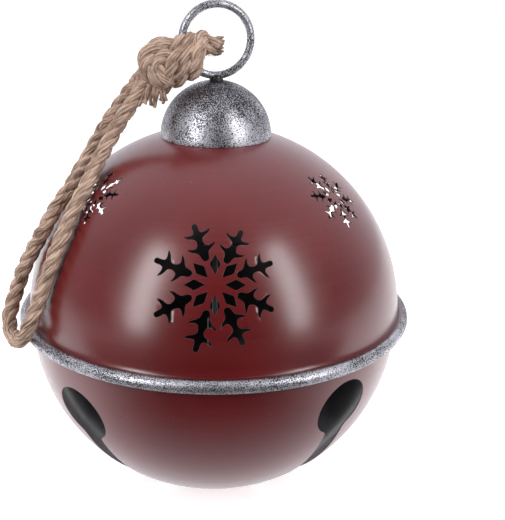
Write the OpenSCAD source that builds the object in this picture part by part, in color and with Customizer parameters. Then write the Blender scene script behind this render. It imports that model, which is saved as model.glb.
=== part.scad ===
// A large sheet-steel jingle bell ornament: a pierced dome and a keyholed bowl
// joined at a round hoop, with a cap, a hanging ring, a clapper inside and a
// knotted jute rope. Millimetres, +Z up. The origin is the middle of the
// pressed foot that the bell stands on, and the front faces -Y.

/* [Ball] */
// Outside diameter of the upper dome
dome_d = 300; // [240:1:380]
// How far the bowl's outside steps in from the dome's at the seam
seam_step = 1.5; // [1.2:0.1:3]
// Thickness of the steel sheet
sheet = 0.8; // [0.5:0.1:1.2]
// How deep the bowl's bottom is pressed flat, which makes the foot
foot_press = 2.5; // [2:0.1:6]
// How far the bowl's edge rises above the middle of the ball
bowl_lip = 3; // [2.5:0.1:3.2]

/* [Hoop] */
// Diameter of the hoop's round section
hoop_section_d = 10.4; // [9:0.1:13]
// Wall of the hoop's rolled strip
hoop_wall = 0.9; // [0.6:0.1:1.5]
// How far the hoop stands out past the dome
hoop_proud = 8; // [7:0.1:9]
// How far the hoop's middle lies below the middle of the ball
hoop_drop = 0.2; // [0:0.1:0.5]
// How far the dome's flared edge reaches out over the hoop
flare_w = 3.6; // [2.5:0.1:4.5]

/* [Snowflakes] */
// Tip-to-tip diameter of the three big snowflakes
big_flake_d = 89; // [60:1:110]
// Latitude of the big snowflakes' middles, in degrees
big_flake_lat = 27.2; // [22:0.1:32]
// Tip-to-tip diameter of the three small snowflakes
small_flake_d = 49; // [30:1:60]
// Latitude of the small snowflakes' middles, in degrees
small_flake_lat = 46.5; // [44:0.1:50]

/* [Keyholes] */
// Diameter of the round end of each keyhole
keyhole_d = 48; // [36:1:60]
// Width of the slots that run from the keyholes across the bottom
slot_w = 19.5; // [12:0.5:26]
// Latitude of the keyholes' middles below the seam, in degrees
keyhole_lat = 17.2; // [15:0.1:24]
// Angle between the two slots, measured across the front, in degrees
slot_angle = 88; // [80:1:100]
// Turn of the keyholes' pattern about the bell's axis, in degrees
pattern_turn = -2.4; // [-5:0.1:5]
// Lean of the keyholes' pattern towards the left, in degrees
pattern_lean = 3; // [0:0.1:4]

/* [Cap and hanger] */
// Outside diameter of the half-round cap
cap_d = 87; // [70:1:110]
// Thickness of the cap's sheet
cap_wall = 1; // [0.6:0.1:1.5]
// Outside diameter of the hanging ring
ring_d = 60; // [44:1:76]
// Thickness of the ring's wire
ring_wire_d = 6; // [4:0.1:8]
// Turn of the ring about the bell's axis, in degrees
ring_turn = 14; // [0:1:90]
// Gap between the cap's crown and the ring, which the stud's collar bridges
ring_gap = 1; // [0.5:0.1:6]
// Diameter of the stud's shank
stud_d = 8; // [6:0.1:10]
// Clearance round the stud in the sheet's holes, on the diameter
stud_clear = 0.6; // [0.2:0.1:1]
// Diameter of the stud's collar
collar_d = 11; // [9.5:0.1:14]
// Diameter of the washer under the dome
washer_d = 26; // [20:1:34]
// Thickness of the washer
washer_t = 2; // [1:0.1:3]
// Width of the nut across its flats
nut_af = 13; // [12:0.1:17]
// Height of the nut
nut_h = 6.5; // [4:0.1:8]

/* [Clapper] */
// Diameter of the eye nut's collar
eye_collar_d = 14; // [12:0.1:18]
// Height of the eye nut's collar
eye_collar_h = 9; // [6:0.1:14]
// Diameter across the middle of the eye nut's wire ring
eye_mid_d = 17; // [16.6:0.1:24]
// Thickness of the eye nut's wire
eye_wire_d = 5; // [4:0.1:6]
// Diameter across the middle of the link's wire ring
link_mid_d = 17; // [16.6:0.1:24]
// Thickness of the link's wire
link_wire_d = 3; // [2:0.1:3.2]
// Diameter across the middle of the rod's own eye
rod_eye_mid_d = 13; // [12.6:0.1:18]
// Diameter of the clapper's rod
rod_d = 4; // [3:0.1:4.2]
// Running gap where one wire hangs in another
hang_gap = 0.3; // [0.2:0.05:0.4]
// How far below the ball's middle the clapper's weight begins
weight_top = 10; // [0:1:20]
// How far below the ball's middle the weight's ball is centred
weight_low = 75; // [60:1:80]
// Diameter of the weight's neck
weight_neck_d = 12; // [9:0.5:14]
// Diameter of the weight's ball
weight_ball_d = 36; // [26:1:36]
// How deep the rod goes into the weight
rod_grip = 20; // [10:1:30]

/* [Rope] */
// Thickness of the jute rope
rope_d = 12; // [8:0.5:14]
// Diameter of the knot
knot_d = 44; // [36:1:46]
// Length of the knot along its turns
knot_l = 48; // [36:1:56]
// Thickness of the rope's loosened ends
tail_d = 14; // [10:0.5:16]
// Gap between the knot and the ring's wire that runs through it
knot_gap = 0.3; // [0.1:0.1:1]

/* [Hidden] */
$fn = 96;

// Ball
dome_r = dome_d / 2;
bowl_r = dome_r - seam_step;
ball_z = bowl_r - foot_press;
// Hoop
hoop_r = hoop_section_d / 2;
hoop_mid_r = dome_r + hoop_proud - hoop_r;
// Cap and hanger
cap_r = cap_d / 2;
cap_z = ball_z + sqrt(dome_r * dome_r - cap_r * cap_r);
stud_hole_r = (stud_d + stud_clear) / 2;
crown_z = cap_z + sqrt(cap_r * cap_r - stud_hole_r * stud_hole_r);
ring_mid_r = (ring_d - ring_wire_d) / 2;
ring_z = crown_z + ring_gap + ring_d / 2;
dome_in_r = dome_r - sheet;
washer_top_z = ball_z + sqrt(dome_in_r * dome_in_r - washer_d * washer_d / 4);
nut_top_z = washer_top_z - washer_t;
eye_top_z = nut_top_z - nut_h;
// Clapper: each wire's middle, from the eye down
eye_mid_r = eye_mid_d / 2;
link_mid_r = link_mid_d / 2;
rod_eye_mid_r = rod_eye_mid_d / 2;
eye_z = eye_top_z - eye_collar_h - eye_mid_r;
swing_a_z = eye_z - eye_mid_r;
link_z = swing_a_z + (eye_wire_d + link_wire_d) / 2 + hang_gap - link_mid_r;
swing_b_z = link_z - link_mid_r;
rod_eye_z = swing_b_z + (link_wire_d + rod_d) / 2 + hang_gap - rod_eye_mid_r;
weight_top_z = ball_z - weight_top;
weight_ball_z = ball_z - weight_low;
// Rope: the knot's middle and its slope
knot_mid = [-36, -8, ring_z - 17];
knot_slope = 26;
// The rope's loop, from the knot down the near strand and up the far one
loop_route = [
  [-56, -13, 330], [-64, -14, 317], [-73, -16, 304], [-80, -21, 292],
  [-88, -30, 278], [-97, -48, 260], [-106, -62, 244], [-113, -73, 228],
  [-120, -78, 211], [-126, -81, 194], [-132, -82, 177], [-139, -84, 161],
  [-145, -80, 150], [-151, -70, 145], [-157, -57, 146], [-160, -47, 154],
  [-158, -41, 164], [-154, -37, 176], [-149, -36, 190], [-141, -37, 206],
  [-132, -39, 222], [-123, -36, 238], [-112, -29, 253], [-104, -18, 266],
  [-96, -10, 279], [-88, -5, 293], [-78, -3, 308], [-68, -3, 322], [-59, -4, 334]
];
// The two loosened ends
tail_ring_route = [[-20, -8, 354], [-8, -7, 358], [3, -6, 360]];
tail_low_route = [[-44, -15, 331], [-44, -19, 320], [-44, -21, 309]];

// One branch of a snowflake along +X with its tip at 100: half of the outline,
// whose other half mirrors it. The round ends are arcs.
branch_root_r = 6;
branch_tip_r = 4.6;
branch_half = concat(
  [for (a = [180 : -30 : 90]) [44 + branch_root_r * cos(a), branch_root_r * sin(a)]],
  [[50, 7], [53.5, 9.6], [56.5, 15], [60, 19.8], [64, 22.2], [61.6, 15.5], [60.8, 10.5],
   [62.5, 7.2], [66.5, 5.2], [71, 4.5], [74.5, 5.8], [77, 9.5], [79, 14.5], [82, 19],
   [86, 21], [84, 14.5], [83.2, 9], [84.5, 5.6], [88.5, 4.4]],
  [for (a = [90 : -30 : 0]) [100 + branch_tip_r * (cos(a) - 1), branch_tip_r * sin(a)]]
);
// The cuts are a little uneven: each branch's turn in degrees, and its length
// beside an even one, anticlockwise from the lower right
branch_turn = [3.5, 0, 0, -3, -3, -1, 4, 6];
branch_long = [1.03, 1, 0.98, 0.98, 1.04, 1.04, 1.06, 1.08];
// A diamond along +X between two branches
diamond_in = 15;
diamond_out = 49;
diamond_wide = 33;
diamond_half = 8.7;

function lat_z(lat, r) = r * sin(lat);
function flipped(points) = [for (i = [len(points) - 1 : -1 : 0]) [points[i][0], -points[i][1]]];

// Turns +Z to a direction: azimuth from the front towards +X, and latitude
module aim(azimuth, latitude) {
  translate([0, 0, ball_z]) rotate([0, 0, azimuth - 90]) rotate([0, 90 - latitude, 0]) children();
}

module branch() {
  polygon(concat(branch_half, flipped(branch_half)));
}

module diamond() {
  polygon([[diamond_in, 0], [diamond_wide, diamond_half], [diamond_out, 0], [diamond_wide, -diamond_half]]);
}

// A snowflake's sixteen cuts, as prisms through the dome's wall
module flake_cutter(flake_d) {
  near = sqrt(dome_r * dome_r - flake_d * flake_d / 4) - 4 * sheet;
  for (k = [0 : 7]) rotate([0, 0, 45 * k]) {
    translate([0, 0, near]) linear_extrude(dome_r + 1 - near) scale(flake_d / 200) diamond();
    rotate([0, 0, 22.5 + branch_turn[k]]) translate([0, 0, near])
      linear_extrude(dome_r + 1 - near) scale(flake_d / 200 * branch_long[k]) branch();
  }
}

// A sheet wall of revolution between two radii, above or below the middle
module wall_section(r, wall) {
  difference() {
    circle(r);
    circle(r - wall);
  }
}

// The pierced dome, whose edge flares out over the hoop
module upper_shell() {
  color("#6e1f22") difference() {
    translate([0, 0, ball_z]) rotate_extrude() difference() {
      union() {
        intersection() {
          wall_section(dome_r, sheet);
          square(dome_r + 1);
        }
        intersection() {
          translate([hoop_mid_r, -hoop_drop]) circle(hoop_r + sheet);
          translate([dome_r - sheet, 0]) square([sheet + flare_w, 3 * hoop_r]);
        }
      }
      translate([hoop_mid_r, -hoop_drop]) circle(hoop_r);
      square([stud_hole_r, dome_r + 1]);
    }
    for (turn = [0 : 120 : 240]) {
      aim(turn, big_flake_lat) flake_cutter(big_flake_d);
      aim(turn + 60, small_flake_lat) flake_cutter(small_flake_d);
    }
  }
}

// Turns the keyholes' pattern and leans it about the ball's middle
module as_cut() {
  translate([0, 0, ball_z]) rotate([0, -pattern_lean, 0]) translate([0, 0, -ball_z])
    rotate([0, 0, pattern_turn]) children();
}

// The bowl, with four keyholes whose slots cross on its pressed foot
module lower_shell() {
  slot_top_z = ball_z - lat_z(keyhole_lat, bowl_r);
  slot_low_z = -bowl_r / 4;
  color("#6e1f22") difference() {
    translate([0, 0, ball_z]) rotate_extrude() difference() {
      intersection() {
        circle(bowl_r);
        translate([0, -ball_z]) square([bowl_r, ball_z + bowl_lip]);
      }
      intersection() {
        circle(bowl_r - sheet);
        translate([0, sheet - ball_z]) square([bowl_r, 2 * bowl_r]);
      }
    }
    for (side = [-1, 1], end = [0, 180]) {
      turn = side * slot_angle / 2 + end;
      as_cut() {
        aim(turn, -keyhole_lat) translate([0, 0, bowl_r / 2]) cylinder(d = keyhole_d, h = bowl_r);
        rotate([0, 0, turn - 90]) translate([0, -slot_w / 2, slot_low_z])
          cube([bowl_r + 1, slot_w, slot_top_z - slot_low_z]);
      }
    }
  }
}

// The hoop: a strip rolled round, which grips the bowl's edge from outside
module rim_hoop() {
  color("#a9a9ad") translate([0, 0, ball_z]) rotate_extrude() difference() {
    translate([hoop_mid_r, -hoop_drop]) wall_section(hoop_r, hoop_wall);
    circle(bowl_r);
  }
}

// The half-round cap, whose edge is cut to the dome that it sits on
module cap() {
  color("#b4b4b8") rotate_extrude() difference() {
    translate([0, cap_z]) intersection() {
      wall_section(cap_r, cap_wall);
      translate([0, -cap_wall]) square(cap_r + cap_wall);
    }
    translate([0, ball_z]) circle(dome_r);
    translate([0, cap_z - cap_wall]) square([stud_hole_r, cap_r + 2 * cap_wall]);
  }
}

// A closed wire ring that stands upright about the Y axis
module wire_ring(mid_r, wire_d) {
  rotate([90, 0, 0]) rotate_extrude() translate([mid_r, 0]) circle(d = wire_d, $fn = 48);
}

module hanging_ring() {
  color("#9a9a9e") translate([0, 0, ring_z]) rotate([0, 0, ring_turn]) wire_ring(ring_mid_r, ring_wire_d);
}

// The stud: a collar saddled and welded to the ring, and a shank through the cap and the dome
module hanger_stud() {
  color("#4a4a4c") difference() {
    union() {
      translate([0, 0, crown_z]) cylinder(d = collar_d, h = ring_gap + ring_wire_d / 2);
      translate([0, 0, eye_top_z - eye_collar_h / 2]) cylinder(d = stud_d, h = crown_z - eye_top_z + eye_collar_h / 2);
    }
    hanging_ring();
  }
}

module stud_washer() {
  color("#8c8c8e") translate([0, 0, nut_top_z]) difference() {
    cylinder(d = washer_d, h = washer_t);
    translate([0, 0, -1]) cylinder(r = stud_hole_r, h = washer_t + 2);
  }
}

module stud_nut() {
  color("#8c8c8e") translate([0, 0, eye_top_z]) difference() {
    cylinder(d = nut_af / cos(30), h = nut_h, $fn = 6);
    translate([0, 0, -1]) cylinder(d = stud_d, h = nut_h + 2);
  }
}

// The eye nut that the clapper hangs from
module clapper_eye() {
  color("#8c8c8e") difference() {
    union() {
      translate([0, 0, eye_top_z - eye_collar_h]) cylinder(d = eye_collar_d, h = eye_collar_h);
      translate([0, 0, eye_z]) wire_ring(eye_mid_r, eye_wire_d);
    }
    translate([0, 0, eye_top_z - eye_collar_h / 2]) cylinder(d = stud_d, h = eye_collar_h);
  }
}

// The closed link between the eye and the rod
module clapper_link() {
  color("#9c9c9e") translate([0, 0, link_z]) rotate([0, 0, 90]) wire_ring(link_mid_r, link_wire_d);
}

// The rod, with an eye at its top
module clapper_rod() {
  rod_low_z = weight_top_z - rod_grip;
  color("#9c9c9e") union() {
    translate([0, 0, rod_eye_z]) wire_ring(rod_eye_mid_r, rod_d);
    translate([0, 0, rod_low_z]) cylinder(d = rod_d, h = rod_eye_z - rod_eye_mid_r - rod_low_z);
  }
}

// The turned weight on the rod: a neck that swells into a ball
module clapper_weight() {
  color("#7c7c80") rotate_extrude() difference() {
    intersection() {
      union() {
        translate([0, weight_ball_z]) circle(d = weight_ball_d);
        polygon([
          [0, weight_ball_z], [weight_ball_d / 2 * cos(30), weight_ball_z + weight_ball_d / 2 * sin(30)],
          [weight_neck_d / 2, weight_ball_z + weight_ball_d], [weight_neck_d / 2, weight_top_z], [0, weight_top_z]
        ]);
      }
      translate([0, weight_ball_z - weight_ball_d]) square([weight_ball_d, weight_low + weight_ball_d]);
    }
    translate([0, weight_top_z - rod_grip]) square([rod_d / 2, rod_grip + 1]);
  }
}

function unit(v) = v / norm(v);
// The direction of a route at its point i
function along(route, i) =
  unit(route[min(i + 1, len(route) - 1)] - route[max(i - 1, 0)]);
// A ring of points square to the route at its point i
function ring_points(route, i, r, sides) =
  let (t = along(route, i), u = unit(cross(t, [0, 1, 0.2])), v = cross(t, u))
  [for (k = [0 : sides - 1]) route[i] + r * (cos(360 * k / sides) * u + sin(360 * k / sides) * v)];

// One closed tube along a route
module tube(route, d, sides = 10) {
  n = len(route);
  points = [for (i = [0 : n - 1]) each ring_points(route, i, d / 2, sides)];
  polyhedron(points, concat(
    [[for (k = [0 : sides - 1]) k]],
    [for (i = [0 : n - 2], k = [0 : sides - 1]) let (a = i * sides, b = a + sides, j = (k + 1) % sides)
      [a + k, b + k, b + j, a + j]],
    [[for (k = [sides - 1 : -1 : 0]) (n - 1) * sides + k]]
  ), convexity = 10);
}

module rope_loop() {
  color("#b09a7c") tube(loop_route, rope_d);
}

// The knot, a barrel of turns about the ring's wire, which runs through it
module rope_knot() {
  color("#a48d6e") difference() {
    translate(knot_mid) rotate([0, 90 - knot_slope, 0]) rotate_extrude($fn = 48)
      polygon([for (a = [-90 : 15 : 90])
        [knot_d / 2 * pow(cos(a), 0.4), knot_l / 2 * sin(a)]]);
    translate([0, 0, ring_z]) rotate([0, 0, ring_turn]) wire_ring(ring_mid_r, ring_wire_d + 2 * knot_gap);
  }
}

module rope_tail_ring() {
  color("#b09a7c") tube(tail_ring_route, tail_d);
}

module rope_tail_low() {
  color("#b09a7c") tube(tail_low_route, tail_d);
}

upper_shell();
lower_shell();
rim_hoop();
cap();
hanging_ring();
hanger_stud();
stud_washer();
stud_nut();
clapper_eye();
clapper_link();
clapper_rod();
clapper_weight();
rope_loop();
rope_knot();
rope_tail_ring();
rope_tail_low();
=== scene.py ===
import random
from math import acos, asin, atan2, cos, degrees, hypot, radians, sin, sqrt, tau

import bmesh
import bpy
from mathutils import Matrix, Vector, noise


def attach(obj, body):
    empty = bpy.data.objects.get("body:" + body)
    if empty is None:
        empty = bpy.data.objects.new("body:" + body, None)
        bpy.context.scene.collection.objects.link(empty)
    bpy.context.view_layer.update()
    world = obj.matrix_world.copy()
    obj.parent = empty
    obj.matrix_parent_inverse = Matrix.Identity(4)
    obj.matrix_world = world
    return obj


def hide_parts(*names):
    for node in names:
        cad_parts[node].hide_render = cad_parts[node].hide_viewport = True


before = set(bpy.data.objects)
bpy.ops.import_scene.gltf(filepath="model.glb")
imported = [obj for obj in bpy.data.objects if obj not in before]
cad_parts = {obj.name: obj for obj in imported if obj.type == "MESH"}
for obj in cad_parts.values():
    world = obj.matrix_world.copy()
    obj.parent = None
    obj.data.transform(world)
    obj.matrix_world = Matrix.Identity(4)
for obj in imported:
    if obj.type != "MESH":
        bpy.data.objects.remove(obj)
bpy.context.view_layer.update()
MM = 0.001


# The camera stands a little above the seam and looks down at the bell's front.
# Its roll is the slight lean of a camera held by hand. The lens is a short telephoto.
camera_place = Vector((0, -0.83639, 0.47833))
camera_aim = Vector((0.030445, 0, 0.186276))
camera_roll = radians(1.05)
focal_length = 75.157
sensor_width = 36

lens = bpy.data.cameras.new("camera")
lens.lens = focal_length
lens.sensor_width = sensor_width
camera = bpy.data.objects.new("camera", lens)
bpy.context.scene.collection.objects.link(camera)
look = (camera_aim - camera_place).to_track_quat("-Z", "Y").to_matrix().to_4x4()
camera.matrix_world = Matrix.Translation(camera_place) @ look @ Matrix.Rotation(camera_roll, 4, "Z")
bpy.context.scene.camera = camera
bpy.context.scene.view_settings.view_transform = "Standard"


# The bowl is spun from 0.8 mm galvanised sheet and pressed flat underneath to make the foot. Four
# keyholes are cut through it, whose slots cross in the foot. It is sprayed a satin burgundy
# outside. Inside it is black with painted shade high up, which gives way to painted light low down.
sheet = 0.8
dome_r = 150
bowl_r = 148.5
foot_press = 2.5
ball_z = bowl_r - foot_press
bowl_lip = 3
keyhole_r = 24
keyhole_lat = radians(17.2)
slot_half = 9.75
keyhole_fillet = 6
keyhole_low = -14
keyhole_reach = 170
keyhole_burr = 0.2
slot_angle = radians(88)
pattern_turn = radians(-2.4)
pattern_lean = radians(3)
round_steps = 256
weld_apart = 1e-7
burgundy = (0.150, 0.0070, 0.0085, 1)
burgundy_deep = (0.122, 0.0048, 0.0060, 1)
dust_grey = (0.45, 0.33, 0.33, 1)
edge_red = (0.16, 0.045, 0.048, 1)
# Lighter grey for the painted highlight where the cut edge catches light.
edge_highlight_grey = (0.30, 0.20, 0.21, 1)
# Inside colours: painted light low down and painted shade high up.
painted_light_grey = (0.70, 0.68, 0.78, 1)
painted_shade_black = (0.010, 0.009, 0.010, 1)


class Signal:
    """A node's output, which can be summed and scaled in an expression."""

    def __init__(self, finish, socket):
        self.finish = finish
        self.socket = socket

    def maths(self, operation, first, second):
        return self.finish.add("Math", {"operation": operation}, {0: first, 1: second})

    def __add__(self, other):
        return self.maths("ADD", self, other)

    def __sub__(self, other):
        return self.maths("SUBTRACT", self, other)

    def __rsub__(self, other):
        return self.maths("SUBTRACT", other, self)

    def __mul__(self, other):
        return self.maths("MULTIPLY", self, other)

    __radd__ = __add__
    __rmul__ = __mul__


class Finish:
    """A material in the making: its Principled shader, and one method that adds any node."""

    def __init__(self, name, **constants):
        self.material = bpy.data.materials.new(name)
        self.material.use_nodes = True
        self.tree = self.material.node_tree
        self.shader = self.tree.nodes["Principled BSDF"]
        for socket, value in constants.items():
            self.shader.inputs[socket.replace("_", " ").title().replace("Ior", "IOR")].default_value = value

    def add(self, kind, settings={}, sockets={}, out=0):
        node = self.tree.nodes.new("ShaderNode" + kind)
        for setting, value in settings.items():
            if setting == "stops":
                for place, colour in value:
                    stop = node.color_ramp.elements.new(place)
                    stop.color = colour
                node.color_ramp.elements.remove(node.color_ramp.elements[0])
                node.color_ramp.elements.remove(node.color_ramp.elements[-1])
            else:
                setattr(node, setting, value)
        for name, value in sockets.items():
            if isinstance(value, Signal):
                self.tree.links.new(value.socket, node.inputs[name])
            else:
                node.inputs[name].default_value = value
        return Signal(self, node.outputs[out])

    def place(self, scale=(1, 1, 1), source="Object"):
        """The object's own coordinates, or its UV map's, stretched by a Mapping node."""
        point = self.add("TexCoord", out={"Object": 3, "UV": 2}[source])
        return self.add("Mapping", sockets={"Vector": point, "Scale": scale})

    def grain(self, scale, detail=3, roughness=0.55, vector=None):
        sockets = {"Scale": scale, "Detail": detail, "Roughness": roughness}
        sockets["Vector"] = vector or self.place()
        return self.add("TexNoise", sockets=sockets)

    def step(self, value, low, high, to_low=0, to_high=1):
        """Goes smoothly from one value to another as its input goes from low to high."""
        sockets = {"Value": value, "From Min": low, "From Max": high, "To Min": to_low, "To Max": to_high}
        return self.add("MapRange", {"interpolation_type": "SMOOTHSTEP"}, sockets)

    def blend(self, mask, under, over):
        settings = {"data_type": "RGBA", "clamp_factor": True}
        return self.add("Mix", settings, {0: mask, 6: under, 7: over}, out=2)

    def bump(self, height, strength, distance):
        """Relief in metres: the height signal goes from 0 to 1."""
        return self.add("Bump", sockets={"Height": height, "Strength": strength, "Distance": distance})

    def feed(self, **signals):
        for socket, value in signals.items():
            self.tree.links.new(value.socket, self.shader.inputs[socket.replace("_", " ").title()])
        return self.material


def satin_paint():
    """Satin paint over the fine lines that spinning left, with a few specks of dust in it."""
    paint = Finish("satin_burgundy", specular_ior_level=0.42, coat_weight=0.85, coat_roughness=0.25)
    lines = paint.grain(1, 4, 0.65, paint.place((2.5, 2.5, 620)))
    fine_lines = paint.grain(1, 2, 0.5, paint.place((9, 9, 2600)))
    peel = paint.grain(420, 2)
    cloud = paint.grain(14, 3)
    colour = paint.blend(paint.step(cloud * 0.55 + lines * 0.45, 0.4, 0.62), burgundy_deep, burgundy)
    dust = paint.step(paint.grain(760, 1, 0.4), 0.778, 0.8)
    colour = paint.blend(dust * 0.3, colour, dust_grey)
    relief = lines * 0.4 + fine_lines * 0.25 + peel * 0.35
    return paint.feed(
        base_color=colour,
        roughness=paint.step(cloud * 0.6 + lines * 0.4, 0.35, 0.65, 0.3, 0.38),
        normal=paint.bump(relief, 0.5, 0.00003),
    )


def cut_edge():
    """The sawn edge of the sheet, with file marks, painted lighter than the face as a painted highlight
    where the edge catches light.
    """
    edge = Finish("cut_edge", metallic=0.3)
    file_marks = edge.grain(1800, 2)
    return edge.feed(
        # Painted highlight: the edge's colour goes lighter than the paint on the face.
        base_color=edge.blend(file_marks, edge_red, edge_highlight_grey),
        roughness=edge.step(file_marks, 0.3, 0.7, 0.32, 0.5),
        normal=edge.bump(file_marks, 0.3, 0.00005),
    )


def shaded_inside_coat():
    """Painted shade inside the shell: black high up, giving way by height to a half-metallic light lavender
    grey low down, which is painted light.
    """
    inside = Finish("shaded_inside_coat", coat_weight=1, coat_roughness=0.2)
    lines = inside.grain(1, 4, 0.6, inside.place((3, 3, 500)))
    cloud = inside.grain(30, 4)
    height = inside.add("SeparateXYZ", sockets={0: inside.add("TexCoord", out=3)}, out=2)
    # Painted shade by height: dark towards the top, painted light towards the bottom.
    shaded_high = inside.step(height + cloud * 0.02, 0.014, 0.056)
    return inside.feed(
        base_color=inside.blend(shaded_high, painted_light_grey, painted_shade_black),
        metallic=inside.step(shaded_high, 0, 1, 0.5, 0),
        roughness=inside.step(cloud * 0.5 + lines * 0.5, 0.3, 0.7, 0.27, 0.4),
        normal=inside.bump(lines, 0.4, 0.00006),
    )


def arc(centre, radius, start, end, steps):
    """Points round part of a circle, from one angle to another in degrees."""
    angles = [radians(start + (end - start) * i / steps) for i in range(steps + 1)]
    return [(centre[0] + radius * cos(a), centre[1] + radius * sin(a)) for a in angles]


def turned(outline, closed=True, steps=round_steps):
    """A wall or a solid turned about the bell's axis, from its (radius, height) outline."""
    shape = bmesh.new()
    ring = [shape.verts.new((r * MM, 0, z * MM)) for r, z in outline]
    pairs = list(zip(ring, ring[1:]))
    if closed:
        pairs.append((ring[-1], ring[0]))
    edges = [shape.edges.new(pair) for pair in pairs]
    bmesh.ops.spin(
        shape, geom=ring + edges, cent=(0, 0, 0), axis=(0, 0, 1), angle=tau, steps=steps, use_merge=True
    )
    bmesh.ops.remove_doubles(shape, verts=shape.verts, dist=weld_apart)
    bmesh.ops.recalc_face_normals(shape, faces=shape.faces)
    return shape


def piece(shape, name, *materials, sharp=40):
    """Finishes a mesh as a smooth-shaded object whose place is in its points."""
    mesh = bpy.data.meshes.new(name)
    shape.to_mesh(mesh)
    shape.free()
    for material in materials:
        mesh.materials.append(material)
    mesh.polygons.foreach_set("use_smooth", [True] * len(mesh.polygons))
    mesh.set_sharp_from_angle(angle=radians(sharp))
    made = bpy.data.objects.new(name, mesh)
    bpy.context.scene.collection.objects.link(made)
    return made


def stands_for(made, body, slot, *nodes):
    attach(made, body)
    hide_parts(*nodes)


def pierced(shell, cutters, burr):
    """Cuts a painted shell with solid cutters, and breaks the cut's outer edge by a chamfer."""
    for cutter in cutters:
        cut = shell.modifiers.new("cut", "BOOLEAN")
        cut.operation = "DIFFERENCE"
        cut.solver = "EXACT"
        cut.object = cutter
    bpy.context.view_layer.update()
    solid = shell.evaluated_get(bpy.context.evaluated_depsgraph_get())
    shape = bmesh.new()
    shape.from_mesh(solid.to_mesh())
    solid.to_mesh_clear()
    shell.modifiers.clear()
    for cutter in cutters:
        bpy.data.objects.remove(cutter)
    bmesh.ops.dissolve_degenerate(shape, edges=shape.edges, dist=0.12 * MM)
    rim = [e for e in shape.edges if {f.material_index for f in e.link_faces} == {0, 1}]
    bmesh.ops.bevel(
        shape, geom=rim, offset=burr * MM, offset_type="WIDTH", segments=1, profile=0.5,
        affect="EDGES", clamp_overlap=False, material=1
    )
    shape.to_mesh(shell.data)
    shape.free()
    shell.data.polygons.foreach_set("use_smooth", [True] * len(shell.data.polygons))
    shell.data.set_sharp_from_angle(angle=radians(40))


def painted_by_side(shape):
    """Gives a wall's faces the paint outside (slot 0), and the inside coat with its painted shade (slot 2).
    """
    shape.normal_update()
    for face in shape.faces:
        away = face.calc_center_median() - Vector((0, 0, ball_z * MM))
        face.material_index = 2 if face.normal.dot(away) < 0 else 0


def bowl_outline():
    foot_lat = degrees(asin(ball_z / bowl_r))
    lip_lat = degrees(asin(bowl_lip / bowl_r))
    outside = arc((0, ball_z), bowl_r, lip_lat, -foot_lat + 1.2, 72)
    foot_r = sqrt(bowl_r ** 2 - ball_z ** 2)
    foot_edge = [(foot_r + 1.4, 0.16), (foot_r - 0.5, 0)]
    foot = [(foot_r * part, 0) for part in (0.75, 0.5, 0.25, 0.05)]
    in_r = bowl_r - sheet
    in_foot_lat = degrees(asin((ball_z - sheet) / in_r))
    inside = arc((0, ball_z), in_r, -in_foot_lat, degrees(asin(bowl_lip / in_r)), 72)
    in_foot = [(foot_r * part, sheet) for part in (0.05, 0.25, 0.5, 0.75)]
    return outside + foot_edge + foot + in_foot + inside


def keyhole_outline():
    """Half of the keyhole as it is seen from the side, (across, up), from its top down."""
    middle_z = ball_z - bowl_r * sin(keyhole_lat)
    flat = cos(keyhole_lat)
    reach = keyhole_r + keyhole_fillet
    fillet_x = slot_half + keyhole_fillet
    fillet_z = -sqrt(reach ** 2 - fillet_x ** 2)
    turn = degrees(atan2(fillet_z, fillet_x))
    bulb = [(x, middle_z + z * flat) for x, z in arc((0, 0), keyhole_r, 90, turn, 20)]
    fillet = arc((fillet_x, fillet_z), keyhole_fillet, turn + 180, 180, 5)
    neck = [(x, middle_z + z * flat) for x, z in fillet[1:]]
    return bulb + neck + [(slot_half, keyhole_low)]


def keyhole_cutter(turn):
    """A prism right through the ball, which cuts two keyholes that face each other."""
    half = keyhole_outline()
    shape = bmesh.new()
    middle = (0, 0, ball_z * MM)
    outline = half + [(-x, z) for x, z in reversed(half[1:])]
    corners = [shape.verts.new((x * MM, -keyhole_reach * MM, z * MM)) for x, z in outline]
    face = shape.faces.new(corners)
    grown = bmesh.ops.extrude_face_region(shape, geom=[face])
    moved = [v for v in grown["geom"] if isinstance(v, bmesh.types.BMVert)]
    bmesh.ops.translate(shape, verts=moved, vec=(0, 2 * keyhole_reach * MM, 0))
    bmesh.ops.rotate(shape, verts=shape.verts, cent=middle, matrix=Matrix.Rotation(turn, 3, "Z"))
    bmesh.ops.rotate(shape, verts=shape.verts, cent=middle, matrix=Matrix.Rotation(-pattern_lean, 3, "Y"))
    bmesh.ops.recalc_face_normals(shape, faces=shape.faces)
    for each in shape.faces:
        each.material_index = 1
    return piece(shape, "keyhole_cutter", burgundy_paint, edge_paint)


burgundy_paint = satin_paint()
edge_paint = cut_edge()
dark_inside = shaded_inside_coat()
bowl_shape = turned(bowl_outline())
painted_by_side(bowl_shape)
bowl = piece(bowl_shape, "bowl", burgundy_paint, edge_paint, dark_inside)
pierced(
    bowl, [keyhole_cutter(pattern_turn + side * slot_angle / 2) for side in (-1, 1)], keyhole_burr
)
stands_for(bowl, "bell", "red_paint", "lower_shell")


# The hoop is a steel strip rolled round into a bead that grips the bowl's edge from outside.
# It is sprayed silver, stippled with black to look old, and pushed on before the dome.
hoop_section_r = 5.2
hoop_wall = 0.9
hoop_mid = (dome_r + 8 - hoop_section_r, ball_z - 0.2)
silver_light = (0.76, 0.76, 0.81, 1)
silver_grey = (0.46, 0.46, 0.51, 1)
stipple_black = (0.016, 0.014, 0.018, 1)


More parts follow.
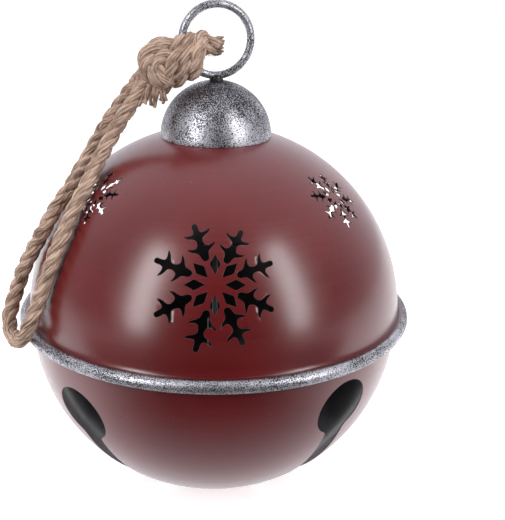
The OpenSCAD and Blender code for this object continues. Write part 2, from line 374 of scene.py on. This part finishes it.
def antique_silver(name, cover, stipple_scale=1350, shaded_crown=None):
    """Silver paint with black stipple. Cover is about the share of it that the black takes."""
    silver = Finish(name)
    dots = silver.grain(stipple_scale, 2, 0.6)
    stipple = dots + silver.grain(36, 3, 0.6) * 0.42
    if shaded_crown:
        # Painted shade: more black towards the top of the piece, by height.
        height = silver.add("SeparateXYZ", sockets={0: silver.add("TexCoord", out=3)}, out=2)
        stipple = stipple + silver.step(height, *shaded_crown, 0, 0.09)
    level = 0.84 - cover * 0.26
    black = silver.step(stipple, level - 0.02, level + 0.02)
    shade = silver.blend(silver.grain(260, 3), silver_light, silver_grey)
    return silver.feed(
        base_color=silver.blend(black, shade, stipple_black),
        metallic=silver.step(black, 0, 1, 0.85, 0.1),
        roughness=silver.step(dots, 0.3, 0.7, 0.36, 0.52),
        normal=silver.bump(dots * 0.7 + silver.grain(180, 2) * 0.3, 0.5, 0.00014),
    )


def hoop_outline():
    mid_r, mid_z = hoop_mid
    span = hypot(mid_r, mid_z - ball_z)
    beside = (span ** 2 + hoop_section_r ** 2 - bowl_r ** 2) / (2 * span * hoop_section_r)
    mouth = 180 - degrees(acos(beside))
    outside = arc(hoop_mid, hoop_section_r, mouth, -mouth, 40)
    inside = arc(hoop_mid, hoop_section_r - hoop_wall, -170, 170, 30)
    return outside + inside


hoop_silver = antique_silver("hoop_silver", 0.45, 1250)
hoop = piece(turned(hoop_outline()), "hoop", hoop_silver)
stands_for(hoop, "bell", "antique_silver", "rim_hoop")


# The dome is spun from the same sheet. Its edge flares out over the hoop, and three big and three
# small snowflakes are laser-cut through it. It is painted like the bowl.
big_flake_d = 89
big_flake_lat = 27.2
small_flake_d = 49
small_flake_lat = 46.5
flare_out = 3.6
stud_hole_r = 4.3
flake_burr = 0.15
corner_bevel = 0.8
branch_points = [
    (50, 7), (53.5, 9.6), (56.5, 15), (60, 19.8), (64, 22.2), (61.6, 15.5), (60.8, 10.5), (62.5, 7.2),
    (66.5, 5.2), (71, 4.5), (74.5, 5.8), (77, 9.5), (79, 14.5), (82, 19), (86, 21), (84, 14.5),
    (83.2, 9), (84.5, 5.6), (88.5, 4.4)
]
branch_turns = (3.5, 0, 0, -3, -3, -1, 4, 6)
branch_longs = (1.03, 1, 0.98, 0.98, 1.04, 1.04, 1.06, 1.08)
diamond_points = [(15, 0), (33, 8.7), (49, 0), (33, -8.7)]


def dome_outline():
    mid_r, mid_z = hoop_mid
    over_r = hoop_section_r + sheet
    span = hypot(mid_r, mid_z - ball_z)
    crease = degrees(acos((span ** 2 + over_r ** 2 - dome_r ** 2) / (2 * span * over_r)))
    crease_lat = degrees(asin((mid_z - ball_z + over_r * sin(radians(crease))) / dome_r))
    in_r = dome_r - sheet
    under_r = hoop_section_r + 0.25
    inner = degrees(acos((span ** 2 + under_r ** 2 - in_r ** 2) / (2 * span * under_r)))
    inner_lat = degrees(asin((mid_z - ball_z + under_r * sin(radians(inner))) / in_r))
    lip_turn = degrees(acos((flare_out + dome_r - mid_r) / over_r))
    top = degrees(acos(stud_hole_r / dome_r))
    outside = arc((0, ball_z), dome_r, top, crease_lat + 0.35, 72)
    flare = arc(hoop_mid, over_r, 180 - crease - 5, lip_turn, 12)
    under = arc(hoop_mid, under_r, lip_turn + 1, 180 - inner, 12)
    inside = arc((0, ball_z), in_r, inner_lat + 0.1, degrees(acos(stud_hole_r / in_r)), 72)
    return outside + flare + under + inside


def branch_outline():
    """A snowflake's branch along +X with its tip at 100, as percent of the flake's radius."""
    root = arc((44, 0), 6, 180, 90, 4)
    tip = arc((95.4, 0), 4.6, 90, 0, 4)
    half = root + branch_points + tip
    return half + [(x, -y) for x, y in reversed(half[1:-1])]


def flake_cutters(shape, flake_d, azimuth, latitude):
    """A snowflake's eight branches and eight diamonds, as prisms through the dome's wall."""
    percent = flake_d / 200
    near = sqrt(dome_r ** 2 - (flake_d / 2) ** 2) - 4 * sheet
    turn = Matrix.Rotation(radians(azimuth - 90), 4, "Z")
    tilt = Matrix.Rotation(radians(90 - latitude), 4, "Y")
    aim = Matrix.Translation((0, 0, ball_z * MM)) @ turn @ tilt
    rise = aim.to_3x3() @ Vector((0, 0, (dome_r + 1 - near) * MM))
    cuts = [(diamond_points, 45 * k, 1) for k in range(8)]
    for k, (turned_by, long) in enumerate(zip(branch_turns, branch_longs)):
        cuts.append((branch_outline(), 45 * k + 22.5 + turned_by, long))
    for outline, spoke_turn, long in cuts:
        spoke = aim @ Matrix.Rotation(radians(spoke_turn), 4, "Z")
        size = percent * long
        corners = [shape.verts.new(spoke @ (Vector((x * size, y * size, near)) * MM)) for x, y in outline]
        shape.faces.new(corners)
        softened = bmesh.ops.bevel(
            shape, geom=corners, offset=corner_bevel * size * MM, offset_type="OFFSET", segments=2,
            profile=0.5, affect="VERTICES", clamp_overlap=True, material=-1
        )
        face = softened["verts"][0].link_faces[0]
        grown = bmesh.ops.extrude_face_region(shape, geom=[face])
        moved = [v for v in grown["geom"] if isinstance(v, bmesh.types.BMVert)]
        bmesh.ops.translate(shape, verts=moved, vec=rise)


def snowflake_cutter():
    shape = bmesh.new()
    for azimuth in (0, 120, 240):
        flake_cutters(shape, big_flake_d, azimuth, big_flake_lat)
        flake_cutters(shape, small_flake_d, azimuth + 60, small_flake_lat)
    bmesh.ops.recalc_face_normals(shape, faces=shape.faces)
    for face in shape.faces:
        face.material_index = 1
    return piece(shape, "snowflake_cutter", burgundy_paint, edge_paint)


dome_shape = turned(dome_outline())
painted_by_side(dome_shape)
dome = piece(dome_shape, "dome", burgundy_paint, edge_paint, dark_inside)
pierced(dome, [snowflake_cutter()], flake_burr)
stands_for(dome, "bell", "red_paint", "upper_shell")


# The stud holds the cap to the dome. It is turned steel with a collar that the ring is welded to,
# and it passes down through both sheets to a washer and a hexagon nut.
cap_r = 43.5
cap_z = ball_z + sqrt(dome_r ** 2 - cap_r ** 2)
crown_z = cap_z + sqrt(cap_r ** 2 - stud_hole_r ** 2)
ring_mid_r = 27
ring_wire_r = 3
ring_turn = radians(14)
ring_z = crown_z + 1 + ring_mid_r + ring_wire_r
stud_r = 4
washer_r = 13
washer_top = ball_z + sqrt((dome_r - sheet) ** 2 - washer_r ** 2)
nut_top = washer_top - 2
nut_h = 6.5
nut_half = 6.5
thread_pitch = 1.25
thread_deep = 0.35
eye_top = nut_top - nut_h


def plated_steel(name, colour, rough=(0.25, 0.42)):
    steel = Finish(name, metallic=1)
    wear = steel.grain(90, 4)
    marks = steel.grain(1, 4, 0.6, steel.place((400, 400, 4200)))
    return steel.feed(
        base_color=steel.blend(wear, colour, tuple(0.62 * part for part in colour[:3]) + (1,)),
        roughness=steel.step(wear * 0.6 + marks * 0.4, 0.35, 0.65, *rough),
        normal=steel.bump(marks, 0.35, 0.00004),
    )


def thread(radius, low, high, pitch):
    """The outline of a screw thread's ridges, from its low end up."""
    count = int((high - low) / pitch)
    ridges = []
    for i in range(count):
        ridges.append((radius - thread_deep, low + pitch * i))
        ridges.append((radius, low + pitch * (i + 0.5)))
    return ridges


zinc = plated_steel("zinc_steel", (0.36, 0.36, 0.38, 1))
stud_low = eye_top - 4.5
saddle_z = ring_z - ring_mid_r
stud_side = thread(stud_r, stud_low + 0.6, nut_top - 1, thread_pitch)
stud_side += [(stud_r, nut_top), (stud_r, crown_z - 0.4), (5.3, crown_z - 0.4), (5.5, crown_z + 0.3)]
weld = [(5.2, crown_z + 1), (4.7, crown_z + 1.8), (4.2, saddle_z + 0.4), (2.4, saddle_z + 1)]
stud_outline = [(0, stud_low), (stud_r - 0.8, stud_low)] + stud_side + weld + [(0, saddle_z + 1.2)]
weld_silver = antique_silver("weld_silver", 1.1)
stud = piece(turned(stud_outline, closed=False, steps=40), "threaded_stud", weld_silver, sharp=35)
stands_for(stud, "bell", "antique_silver", "hanger_stud")

washer_outline = [
    (4.3, washer_top - 2), (washer_r - 0.3, washer_top - 2), (washer_r, washer_top - 1.7),
    (washer_r, washer_top - 0.3), (washer_r - 0.3, washer_top), (4.3, washer_top)
]
washer = piece(turned(washer_outline, steps=64), "washer", zinc)
stands_for(washer, "bell", "zinc_steel", "stud_washer")


def hexagon_nut():
    """A hexagon prism whose corners are chamfered at both ends."""
    shape = bmesh.new()
    corner_r = nut_half / cos(radians(30)) * MM
    bmesh.ops.create_cone(
        shape, cap_ends=True, segments=6, radius1=corner_r, radius2=corner_r, depth=nut_h * MM
    )
    bmesh.ops.translate(shape, verts=shape.verts, vec=(0, 0, (eye_top + nut_h / 2) * MM))
    ends = [f for f in shape.faces if abs(f.normal.z) > 0.9]
    bmesh.ops.bevel(
        shape, geom=[v for f in ends for v in f.verts], offset=0.9 * MM, offset_type="OFFSET",
        segments=2, profile=0.5, affect="VERTICES", clamp_overlap=True, material=-1
    )
    ends = [f for f in shape.faces if abs(f.normal.z) > 0.9]
    bmesh.ops.inset_individual(shape, faces=ends, thickness=2.2 * MM, depth=0)
    return shape


nut = piece(hexagon_nut(), "nut", zinc, sharp=25)
stands_for(nut, "bell", "zinc_steel", "stud_nut")


# The clapper hangs inside: an eye nut on the stud, a closed wire link in it, and a steel rod with
# an eye of its own. On the rod sits a turned weight, a neck that swells into a ball.
eye_mid_r = 8.5
eye_wire_r = 2.5
eye_collar_h = 9
eye_z = eye_top - eye_collar_h - eye_mid_r
link_mid_r = 8.5
link_wire_r = 1.5
hang_gap = 0.3
link_z = eye_z - eye_mid_r + eye_wire_r + link_wire_r + hang_gap - link_mid_r
rod_eye_r = 6.5
rod_r = 2
rod_eye_z = link_z - link_mid_r + link_wire_r + rod_r + hang_gap - rod_eye_r
weight_top = ball_z - 10
weight_ball_z = ball_z - 75
weight_ball_r = 18
neck_r = 6


def wire_ring(middle_z, mid_r, wire_r, turn, steps=96):
    """A closed ring of round wire that stands upright, turned about the bell's axis."""
    shape = bmesh.new()
    place = Matrix.Translation((mid_r * MM, 0, 0))
    circle = bmesh.ops.create_circle(shape, segments=28, radius=wire_r * MM, matrix=place)["verts"]
    edges = list(shape.edges)
    bmesh.ops.spin(
        shape, geom=circle + edges, cent=(0, 0, 0), axis=(0, 1, 0), angle=tau, steps=steps, use_merge=True
    )
    bmesh.ops.remove_doubles(shape, verts=shape.verts, dist=weld_apart)
    bmesh.ops.rotate(shape, verts=shape.verts, cent=(0, 0, 0), matrix=Matrix.Rotation(turn, 3, "Z"))
    bmesh.ops.translate(shape, verts=shape.verts, vec=(0, 0, middle_z * MM))
    bmesh.ops.recalc_face_normals(shape, faces=shape.faces)
    return shape


def joined(*shapes):
    """One mesh of several, each of them freed."""
    whole = bmesh.new()
    for shape in shapes:
        part = bpy.data.meshes.new("part")
        shape.to_mesh(part)
        shape.free()
        whole.from_mesh(part)
        bpy.data.meshes.remove(part)
    return whole


collar_low = eye_top - eye_collar_h
collar_outline = [
    (0, collar_low), (4, collar_low), (6.2, collar_low + 0.6), (7, collar_low + 2), (7, eye_top - 0.5),
    (6.5, eye_top), (4.2, eye_top), (4.2, eye_top - 4.4), (0, eye_top - 4.4)
]
collar = turned(collar_outline, closed=False, steps=48)
eye = piece(joined(collar, wire_ring(eye_z, eye_mid_r, eye_wire_r, 0)), "eye_nut", zinc)
stands_for(eye, "bell", "zinc_steel", "clapper_eye")

link = piece(wire_ring(link_z, link_mid_r, link_wire_r, radians(90)), "link", zinc)
stands_for(link, "link", "zinc_steel", "clapper_link")

rod_top = rod_eye_z - rod_eye_r
rod_outline = [(0, weight_top - 20), (rod_r, weight_top - 20), (rod_r, rod_top), (0, rod_top + 1)]
rod_shaft = turned(rod_outline, closed=False, steps=32)
rod_steel = plated_steel("rod_steel", (0.30, 0.30, 0.32, 1))
rod = piece(joined(rod_shaft, wire_ring(rod_eye_z, rod_eye_r, rod_r, 0)), "rod", rod_steel)
stands_for(rod, "clapper", "zinc_steel", "clapper_rod")


def weight_outline():
    ball = arc((0, weight_ball_z), weight_ball_r, -90, 30, 24)
    shoulder = (weight_ball_r * cos(radians(30)), weight_ball_z + weight_ball_r * sin(radians(30)))
    neck_low = weight_ball_z + 2 * weight_ball_r
    flank = [(shoulder[0] + (neck_r - shoulder[0]) * t, shoulder[1] + (neck_low - shoulder[1]) * t)
             for t in (0.35, 0.7, 1)]
    groove_shades = []
    for z in (neck_low + 4, neck_low + 8):
        groove_shades += [(neck_r, z - 0.7), (neck_r - 0.5, z), (neck_r, z + 0.7)]
    top = [(neck_r, weight_top - 0.8), (neck_r - 0.8, weight_top), (rod_r, weight_top), (0, weight_top)]
    return ball + flank + groove_shades + top


weight_steel = plated_steel("turned_steel", (0.13, 0.13, 0.14, 1), (0.3, 0.45))
weight = piece(turned(weight_outline(), closed=False, steps=72), "weight", weight_steel)
stands_for(weight, "clapper", "dark_steel", "clapper_weight")


# The cap is a half ball pressed from 1 mm sheet, with its edge cut to sit close on the dome. Its
# silver paint is stippled with black, and the crown is darkened further as painted shade.
cap_wall = 1


def cap_outline():
    in_r = cap_r - cap_wall
    in_low_z = ball_z + sqrt(dome_r ** 2 - in_r ** 2)
    top = degrees(acos(stud_hole_r / cap_r))
    outside = arc((0, cap_z), cap_r, top, 1.2, 48)
    rim = [(cap_r - 0.05, cap_z + 0.35), (cap_r - 0.35, cap_z + 0.08)]
    inside = arc((0, cap_z), in_r, 2, degrees(acos(stud_hole_r / in_r)), 48)
    return outside + rim + [(in_r, in_low_z)] + inside


cap_silver = antique_silver("cap_silver", 0.44, 1150, (0.300, 0.326))
cap = piece(turned(cap_outline(), steps=160), "silver_cap", cap_silver)
stands_for(cap, "bell", "antique_silver", "cap")


# The hanging ring is a closed ring of 6 mm steel wire, welded upright to the stud's collar. It is
# sprayed silver and stippled with black like the cap.
ring_silver = antique_silver("ring_silver", 0.46, 1200)
ring_shape = wire_ring(ring_z, ring_mid_r, ring_wire_r, ring_turn, 160)
hanging_ring = piece(ring_shape, "silver_ring", ring_silver)
stands_for(hanging_ring, "bell", "antique_silver", "hanging_ring")


# The rope is 12 mm jute laid from three strands. It hangs from its knot on the ring in one long
# loop, down the bell's left side and back up, with its bend resting on the hoop.
strand_r = 3.15
strand_out = 2.85
lay_pitch = 36
ring_step = 1.5
yarn_ridges = 8
yarn_skew = 163
loop_route = [
    (-56, -13, 330), (-64, -14, 317), (-73, -16, 304), (-80, -21, 292), (-88, -30, 278),
    (-97, -48, 260), (-106, -62, 244), (-113, -73, 228), (-120, -78, 211), (-126, -81, 194),
    (-132, -82, 177), (-139, -84, 161), (-145, -80, 150), (-151, -70, 145), (-157, -57, 146),
    (-160, -47, 154), (-158, -41, 164), (-154, -37, 176), (-149, -36, 190), (-141, -37, 206),
    (-132, -39, 222), (-123, -36, 238), (-112, -29, 253), (-104, -18, 266), (-96, -10, 279),
    (-88, -5, 293), (-78, -3, 308), (-68, -3, 322), (-59, -4, 334)
]
jute_pale = (0.84, 0.61, 0.48, 1)
jute_brown = (0.37, 0.25, 0.19, 1)
# Dark fibres, and the painted shade in the rope's grooves.
jute_dark_and_shade = (0.075, 0.048, 0.036, 1)


def jute_fibres(name):
    """Jute yarn, whose fibres run along the yarn's own UV map, in metres."""
    jute = Finish(name, roughness=0.85, specular_ior_level=0.25)
    fibres = jute.grain(1, 4, 0.75, jute.place((2400, 150, 1), "UV"))
    strands = jute.grain(1, 3, 0.6, jute.place((700, 70, 1), "UV"))
    cloud = jute.grain(75, 4, 0.65)
    groove_shade = jute.step(jute.add("Attribute", {"attribute_name": "groove_shade"}, out=2), 0, 1)
    tone = fibres * 0.25 + strands * 0.55 + cloud * 0.2
    colour = jute.blend(jute.step(tone, 0.43, 0.58), jute_brown, jute_pale)
    colour = jute.blend(jute.step(tone, 0.37, 0.46, 0.9, 0), colour, jute_dark_and_shade)
    # Painted shade: the yarn is darkened in the grooves between its ridges and on each strand's side that
    # faces the rope's core.
    colour = jute.blend(groove_shade * 0.72, colour, jute_dark_and_shade)
    return jute.feed(
        base_color=colour,
        roughness=jute.step(fibres, 0.3, 0.7, 0.7, 0.95),
        normal=jute.bump(fibres * 0.6 + strands * 0.4, 1, 0.0011),
    )


def smooth_route(points, step):
    """Evenly spaced points along the smooth curve through a route's points, all in metres."""
    knots = [Vector(p) * MM for p in points]
    knots = [2 * knots[0] - knots[1]] + knots + [2 * knots[-1] - knots[-2]]
    fine = []
    for a, b, c, d in zip(knots, knots[1:], knots[2:], knots[3:]):
        for i in range(20):
            t = i / 20
            bend = (c - a) * t + (2 * a - 5 * b + 4 * c - d) * t ** 2 + (3 * b - a - 3 * c + d) * t ** 3
            fine.append(b + bend / 2)
    fine.append(knots[-2])
    run = [0]
    for p, q in zip(fine, fine[1:]):
        run.append(run[-1] + (q - p).length)
    count = max(2, round(run[-1] / (step * MM)))
    even = []
    at = 0
    for i in range(count + 1):
        want = run[-1] * i / count
        while at < len(fine) - 2 and run[at + 1] < want:
            at += 1
        part = (want - run[at]) / max(run[at + 1] - run[at], 1e-9)
        even.append(fine[at].lerp(fine[at + 1], min(part, 1)))
    return even


def carried_frames(path):
    """At each point: the direction along the path and a side that is carried along untwisted."""
    side = None
    frames = []
    for i, point in enumerate(path):
        ahead = (path[min(i + 1, len(path) - 1)] - path[max(i - 1, 0)]).normalized()
        if side is None:
            side = ahead.orthogonal()
        side = (side - ahead * side.dot(ahead)).normalized()
        frames.append((ahead, side))
    return frames


def tube(shape, rings):
    """Joins rings of points into a closed tube. Each ring is (points, [(u, v), ...], painted shade of each
    point in the rope's grooves).
    """
    uv_layer = shape.loops.layers.uv.verify()
    groove_shade_layer = shape.verts.layers.float.get("groove_shade") or shape.verts.layers.float.new("groove_shade")
    made = []
    for points, uvs, groove_shades in rings:
        row = [shape.verts.new(p) for p in points]
        for vert, depth in zip(row, groove_shades):
            vert[groove_shade_layer] = depth
        made.append((row, uvs))
    for (near, near_uv), (far, far_uv) in zip(made, made[1:]):
        sides = len(near)
        for j in range(sides):
            k = (j + 1) % sides
            face = shape.faces.new((near[j], near[k], far[k], far[j]))
            for loop, uv in zip(face.loops, (near_uv[j], near_uv[j + 1], far_uv[j + 1], far_uv[j])):
                loop[uv_layer].uv = uv
    shape.faces.new(list(reversed(made[0][0])))
    shape.faces.new(made[-1][0])


def yarn_ring(centre, along, out, radius, run, ridges, skew, wobble, seed):
    """One ring of a strand. Its seam faces inwards, and its yarns show as low ridges. Its inward side and
    the grooves between ridges carry painted shade.
    """
    across = along.cross(out).normalized()
    sides = 5 * ridges
    points, uvs, groove_shades = [], [], []
    for j in range(sides + 1):
        turn = tau * j / sides
        phase = turn - skew * run
        ridge = cos(ridges * phase)
        rough = noise.noise(Vector((seed + 2.2 * cos(turn), 2.2 * sin(turn), run / (5 * MM))))
        fuzz = noise.noise(Vector((seed + 9 * cos(turn), 9 * sin(turn), run / (1.6 * MM))))
        r = radius * (1 + 0.065 * ridge + wobble * rough + 0.09 * fuzz)
        if j < sides:
            points.append(centre + (out * -cos(turn) + across * sin(turn)) * r)
            # Painted shade: strongest on the side facing the rope's core and in the grooves between ridges.
            inward = max(0, cos(turn)) ** 2
            groove_shades.append(min(1, 0.9 * inward + 0.55 * max(0, -ridge)))
        uvs.append(((turn - skew * run) * radius, run))
    return points, uvs, groove_shades


def laid_rope(shape, path, strand_size=strand_r, spread=strand_out, start_turn=0, flare=None):
    """Three strands laid round a path, right-handed. Flare opens them towards the far end."""
    frames = carried_frames(path)
    pitch = lay_pitch * MM
    for k in range(3):
        rings = []
        run = 0
        for i, (point, (ahead, side)) in enumerate(zip(path, frames)):
            run += (point - path[i - 1]).length if i else 0
            turn = start_turn + tau * (k / 3 + run / pitch)
            out = side * cos(turn) + ahead.cross(side) * sin(turn)
            opened = flare(i / (len(path) - 1)) if flare else 1
            reach = spread * MM * opened
            along = (ahead + ahead.cross(out) * (tau * reach / pitch)).normalized()
            size = strand_size * MM * (1 + 0.03 * noise.noise(Vector((k, run / (9 * MM), 4))))
            centre = point + out * reach
            rings.append(yarn_ring(centre, along, out, size, run, yarn_ridges, yarn_skew, 0.08, 7 * k))
        tube(shape, rings)


def rope_piece(shape, name):
    made = piece(shape, name, jute, sharp=180)
    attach(made, "bell")
    return made


jute = jute_fibres("jute")
loop_path = smooth_route(loop_route, ring_step)
loop_shape = bmesh.new()
laid_rope(loop_shape, loop_path)
rope_loop = rope_piece(loop_shape, "jute_loop")
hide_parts("rope_loop")


# The knot gathers the rope round the ring's wire: its turns are drawn tight over the ring, and
# folds of the same rope make a lump at their left end, over the loop's two strands.
knot_left = Vector((-36, -8, 345.5))
knot_right = Vector((-10, -8, 355))
knot_leans = (18, 4)
knot_highs = (18, 11)
knot_deep = 10.5
knot_turns = 2.8
fold_routes = [
    [(-31, -7, 359), (-39, -13, 360), (-47, -18, 357), (-53, -20.5, 350), (-52, -21.5, 343),
     (-46, -21, 337.5), (-38, -17, 335), (-31, -8, 336)],
    [(-31, 3, 357), (-41, 0, 360), (-50, -5, 356), (-54, -9, 350), (-52.5, -11, 343), (-45, -9, 337)],
    [(-33, -12, 353), (-39, -17, 354.5), (-45, -19, 351), (-45, -19, 345), (-39, -17, 341.5)],
    [(-34, -4, 347), (-42, -8, 350), (-48, -11, 348), (-46, -12, 342)],
]
lead_routes = [
    [(-36, -8, 349), (-45, -11, 341), (-52, -12.5, 334), (-57, -13, 328.5)],
    [(-34, 0, 354), (-44, -3, 348), (-53, -4, 340), (-60, -4, 332.5)],
]


def knot_coil():
    """The turns' middle line: a flattened helix that gets lower and more upright to the right."""
    points = []
    steps = 60
    for i in range(steps + 1):
        part = i / steps
        turn = tau * knot_turns * part - radians(100)
        lean = radians(knot_leans[0] + (knot_leans[1] - knot_leans[0]) * part)
        high = knot_highs[0] + (knot_highs[1] - knot_highs[0]) * part
        up = Vector((sin(lean), 0, cos(lean)))
        round_turn = up * high * sin(turn) - Vector((0, knot_deep * cos(turn), 0))
        points.append(knot_left.lerp(knot_right, part) + round_turn)
    return points


knot_shape = bmesh.new()
laid_rope(knot_shape, smooth_route(knot_coil(), ring_step), 3.3, 3.0, 0.6)
for fold in fold_routes:
    laid_rope(knot_shape, smooth_route(fold, ring_step), 3.2, 2.9, 2.1)
for lead in lead_routes:
    laid_rope(knot_shape, smooth_route(lead, ring_step), 3.1, 2.8, 1.2)
rope_knot = rope_piece(knot_shape, "jute_knot")
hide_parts("rope_knot")


# The rope's two ends are cut short and have come unlaid. One sticks out past the ring as a stiff
# brush, and the other hangs under the knot with its yarns fanned out.
ring_tail_route = [(-20, -10, 356), (-12, -11, 359), (-4, -9, 360.5), (2, -8, 360.5)]
low_tail_route = [(-43, -15, 336), (-47, -18, 328), (-48, -20, 319)]
golden_turn = radians(137.5)
chance = random.Random(7)


def yarn(shape, route, radius, taper=0.5, ridges=3, seed=0):
    """One thin yarn along a route of its own, thinner towards its end."""
    path = smooth_route(route, 1.2)
    frames = carried_frames(path)
    rings = []
    run = 0
    for i, (point, (ahead, side)) in enumerate(zip(path, frames)):
        run += (point - path[i - 1]).length if i else 0
        part = i / (len(path) - 1)
        size = radius * MM * (1 - (1 - taper) * part ** 3)
        rings.append(yarn_ring(point, ahead, side, size, run, ridges, 300, 0.16, seed))
    tube(shape, rings)


def scattered(spread):
    return Vector([chance.gauss(0, spread) for axis in range(3)])


def low_tail():
    """Three clumps of yarn ends that leave the knot together and hang apart."""
    shape = bmesh.new()
    for clump_x, low, count in ((-54, 318, 6), (-48, 315, 6), (-40, 319, 4)):
        for i in range(count):
            start = Vector((-44, -15, 337)) + scattered(1.3)
            middle = Vector((clump_x * 0.75 - 11, -19, 327)) + scattered(1.2)
            end = Vector((clump_x, -20, low)) + scattered(1.7)
            yarn(shape, [start, middle, end], 1.7, 0.6, seed=i + low)
    return shape


def ring_tail():
    """A short laid stub whose strands open into a brush of yarn ends."""
    shape = bmesh.new()
    path = smooth_route(ring_tail_route, ring_step)
    laid_rope(shape, path, 3.5, 3.3, 0.3, flare=lambda part: 1 + 0.25 * part)
    ahead = (path[-1] - path[-4]).normalized()
    side = ahead.orthogonal().normalized()
    ends = 30
    for i in range(ends):
        turn = golden_turn * i
        reach = 0.8 + 5.8 * sqrt((i + 0.5) / ends)
        out = side * cos(turn) + ahead.cross(side) * sin(turn)
        base = path[-4] / MM + out * reach * 0.7
        tip = path[-1] / MM + out * reach * 1.1 + ahead * chance.uniform(0.5, 4) + scattered(0.6)
        yarn(shape, [base, base.lerp(tip, 0.5) + out * 0.6, tip], 1.15, 0.6, seed=i)
    return shape


rope_tail_ring = rope_piece(ring_tail(), "jute_ring_end")
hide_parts("rope_tail_ring")
rope_tail_low = rope_piece(low_tail(), "jute_low_end")
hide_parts("rope_tail_low")


# Stray fibres stand out all over the jute. Each is a hair with one bend, rooted in the rope.
fibre_r = 0.16


def hair(shape, root, out, reach):
    """One fibre with three sides, bent once along its way."""
    tip = root + out * reach + scattered(reach * 0.28)
    middle = root.lerp(tip, 0.5) + scattered(reach * 0.14)
    path = [root * MM, root.lerp(middle, 0.6) * MM, middle * MM, tip * MM]
    rings = []
    for i, (point, (ahead, side)) in enumerate(zip(path, carried_frames(path))):
        other = ahead.cross(side)
        size = fibre_r * MM * (1 - 0.2 * i)
        angles = [tau * j / 3 for j in range(3)]
        points = [point + (side * cos(a) + other * sin(a)) * size for a in angles]
        rings.append((points, [(0.3 * j * MM, i * MM) for j in range(4)], [0, 0, 0]))
    tube(shape, rings)


def fibres():
    shape = bmesh.new()
    for path, count, thick, reach in (
        (loop_path, 1100, 5.7, 3),
        (smooth_route(knot_coil(), 2), 620, 5.9, 3.2),
        (smooth_route(fold_routes[0], 2), 170, 5.9, 3.2),
        (smooth_route(ring_tail_route, 1), 190, 5.5, 4.5),
        (smooth_route(low_tail_route, 1), 110, 5, 5),
    ):
        frames = carried_frames(path)
        for i in range(count):
            at = chance.randrange(2, len(path) - 1)
            ahead, side = frames[at]
            turn = chance.uniform(0, tau)
            out = side * cos(turn) + ahead.cross(side) * sin(turn)
            lean = (out + ahead * chance.uniform(-1.6, 1.6)).normalized()
            hair(shape, path[at] / MM + out * thick, lean, reach * chance.uniform(0.4, 1.3))
    return shape


rope_fibres = rope_piece(fibres(), "jute_fibres")


# The bell stands on a plain white table in soft studio light: two tall soft boxes at the front,
# a broad fill overhead, and a room that is bright behind and dark in front. Two cards on the
# table, which the camera doesn't see, keep its front part dark in the paint's reflections.
def soft_box(name, turn, lift, distance, size, power):
    lamp = bpy.data.lights.new(name, "AREA")
    lamp.shape = "RECTANGLE"
    lamp.size, lamp.size_y = size
    lamp.energy = power
    made = bpy.data.objects.new(name, lamp)
    bpy.context.scene.collection.objects.link(made)
    where = Vector((sin(turn) * cos(lift), -cos(turn) * cos(lift), sin(lift))) * distance
    middle = Vector((0, 0, ball_z * MM))
    turned_to = where.to_track_quat("Z", "Y").to_matrix().to_4x4()
    made.matrix_world = Matrix.Translation(middle + where) @ turned_to
    return made


soft_box("left_soft_box", radians(-44), radians(26), 1.3, (0.3, 1.1), 9.5)
soft_box("right_soft_box", radians(49), radians(26), 1.3, (0.28, 1.1), 8)
overhead = soft_box("overhead_fill", radians(180), radians(75), 1.5, (1.2, 1.2), 5)
overhead.visible_glossy = False


class Room(Finish):
    """The light that comes from the room all round."""

    def __init__(self, name):
        self.world = bpy.data.worlds.new(name)
        self.world.use_nodes = True
        self.tree = self.world.node_tree
        self.shader = self.tree.nodes["Background"]


room = Room("room")
direction = room.add("TexCoord")
backward = room.add("SeparateXYZ", sockets={0: direction}, out=1)
upward = room.add("SeparateXYZ", sockets={0: direction}, out=2)
reach = {"Value": backward + upward * 0.75, "From Min": -0.3, "From Max": 1, "To Min": 0.01, "To Max": 1}
glow = room.add("MapRange", sockets=reach)
seen = room.add("LightPath")
room.tree.links.new((glow * (1 - seen) + seen).socket, room.shader.inputs["Strength"])
room.tree.links.new(room.blend(seen, (0.95, 0.94, 1, 1), (1, 1, 1, 1)).socket, room.shader.inputs["Color"])
bpy.context.scene.world = room.world

table_white = Finish("table_white", roughness=0.6, emission_strength=0.6)
table_paint = table_white.feed(base_color=table_white.blend(
    table_white.grain(3, 2), (0.93, 0.93, 0.94, 1), (0.96, 0.96, 0.96, 1)
))
table_shape = bmesh.new()
bmesh.ops.create_circle(table_shape, cap_ends=True, segments=96, radius=3)
table = piece(table_shape, "table", table_paint)


def card(name, near, far, half_width, lift, paint):
    """A card on the table that the camera doesn't see, from one Y to another."""
    shape = bmesh.new()
    bmesh.ops.create_grid(shape, x_segments=1, y_segments=1, size=0.5)
    bmesh.ops.scale(shape, verts=shape.verts, vec=(2 * half_width, far - near, 1))
    bmesh.ops.translate(shape, verts=shape.verts, vec=(0, (near + far) / 2, lift))
    made = piece(shape, name, paint)
    made.visible_camera = False
    made.visible_shadow = False
    return made


def fading_light():
    """Light from the table, which fades towards its front and the middle."""
    fading = Finish("fading_card", base_color=(0, 0, 0, 1), specular_ior_level=0, emission_strength=1.4)
    point = fading.add("TexCoord", out=3)
    across = fading.add("SeparateXYZ", sockets={0: point}, out=0)
    depth = fading.add("SeparateXYZ", sockets={0: point}, out=1)
    light = fading.step(depth, -0.28, -0.03, 0.03, 0.78)
    light = light + fading.step(across * across, 0.004, 0.08, 0, 0.45)
    return fading.feed(emission_color=fading.blend(light, (0, 0, 0, 1), (0.97, 0.96, 1, 1)))


card_black = Finish("card_black", base_color=(0.02, 0.02, 0.02, 1), roughness=0.9).material
card("dark_card", -2.2, -0.2, 1.2, 0.002, card_black)
fading_card = card("fading_card", -0.45, 0.05, 0.4, 0.003, fading_light())
fading_card.visible_diffuse = False
